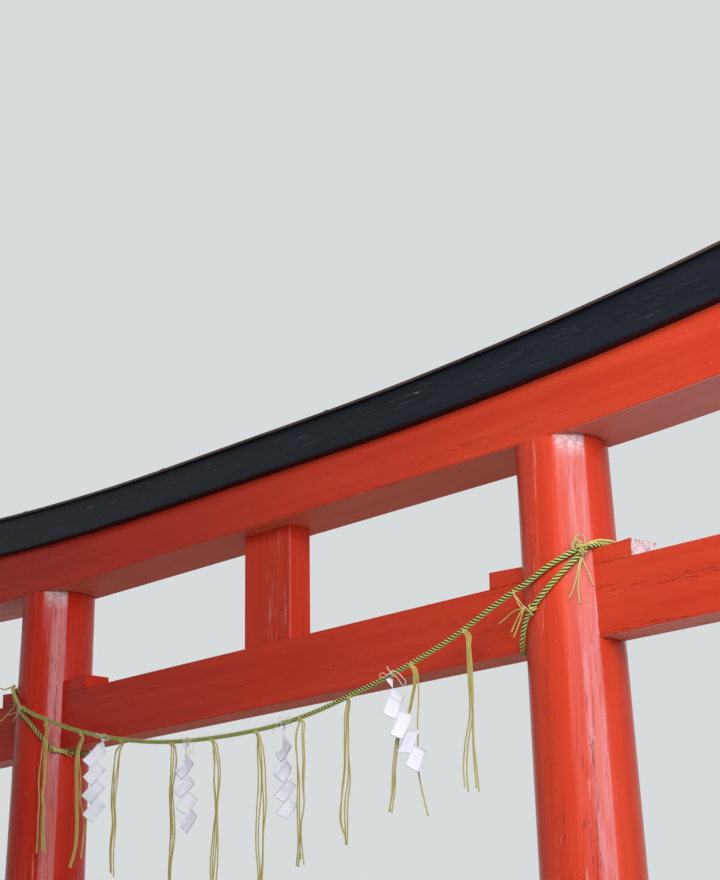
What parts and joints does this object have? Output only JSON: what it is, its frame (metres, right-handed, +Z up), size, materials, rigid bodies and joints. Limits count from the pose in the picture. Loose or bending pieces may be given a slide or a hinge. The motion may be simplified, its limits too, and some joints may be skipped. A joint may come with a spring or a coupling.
{
  "type": "torii gate",
  "caption": "Vermilion timber torii: leaning round posts, through tie beam with wedges, centre strut, upswept double lintel, and a sacred rope hung with tassels and paper streamers.",
  "frame": {"origin": "centre of the left post's foot, at ground level, seen from the front", "axes": "+X along the gate from the left post to the right post, +Y from the front to the back, +Z up"},
  "size_m": [4.9204, 0.6, 3.83],
  "materials": {
    "vermilion_paint": "gloss vermilion paint on timber, a little worn at the edges",
    "black_paint": "satin black paint on timber, scuffed and chalky in places",
    "roof_metal": "dark brown weathered sheet metal",
    "stone": "bush-hammered granite",
    "rope": "laid rope of dark green and pale straw strands",
    "straw": "dry yellow-green straw cord",
    "paper": "matt white folded paper"
  },
  "bodies": {
    "root": {"left_post": "vermilion_paint", "right_post": "vermilion_paint", "left_base_stone": "stone", "right_base_stone": "stone", "left_foot_band": "black_paint", "right_foot_band": "black_paint", "tie_beam": "vermilion_paint", "left_outer_wedge": "vermilion_paint", "left_inner_wedge": "vermilion_paint", "right_inner_wedge": "vermilion_paint", "right_outer_wedge": "vermilion_paint", "centre_strut": "vermilion_paint", "lower_lintel": "vermilion_paint", "top_lintel": "black_paint", "roof_sheet": "roof_metal", "rope_span": "rope", "left_rope_turn": "rope", "right_rope_turn": "rope", "left_rope_knot": "rope", "right_rope_knot": "rope", "straw_tie": "straw", "tassel_1": "straw", "tassel_2": "straw", "tassel_3": "straw", "tassel_4": "straw", "tassel_5": "straw", "tassel_6": "straw", "tassel_7": "straw", "tassel_8": "straw", "tassel_9": "straw", "tassel_10": "straw", "paper_streamer_1": "paper", "paper_streamer_2": "paper", "paper_streamer_3": "paper", "paper_streamer_4": "paper"}
  },
  "joints": []
}
